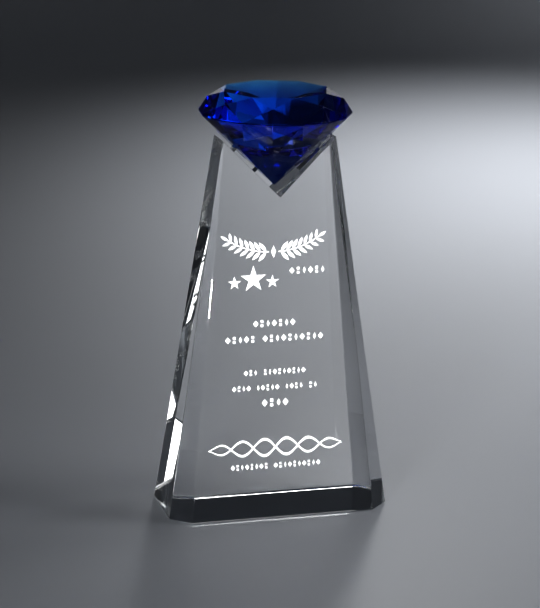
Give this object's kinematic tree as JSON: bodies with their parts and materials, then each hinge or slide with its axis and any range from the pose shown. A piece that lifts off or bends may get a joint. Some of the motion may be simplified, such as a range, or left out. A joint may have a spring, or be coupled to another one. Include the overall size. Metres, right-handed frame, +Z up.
{
  "type": "crystal award",
  "caption": "Free-standing clear crystal tower award, wider at its foot, with a blue brilliant-cut crystal bonded into a V cut across its top and white-filled engraving.",
  "frame": {"origin": "middle of the foot, on the surface that the award stands on", "axes": "+Z up, +X to the right seen from the front, the engraved front faces -Y"},
  "size_m": [0.1198, 0.0796, 0.2252],
  "materials": {
    "clear_crystal": "polished optical crystal",
    "blue_crystal": "polished deep blue crystal",
    "clear_adhesive": "cured clear adhesive",
    "white_enamel": "white colour fill"
  },
  "bodies": {
    "root": {"crystal_tower": "clear_crystal", "blue_diamond": "blue_crystal", "bond_pad_left": "clear_adhesive", "bond_pad_right": "clear_adhesive", "white_fill_laurel": "white_enamel", "white_fill_stars": "white_enamel", "white_fill_award_lines": "white_enamel", "white_fill_citation_lines": "white_enamel", "white_fill_name_flourish": "white_enamel"}
  },
  "joints": []
}
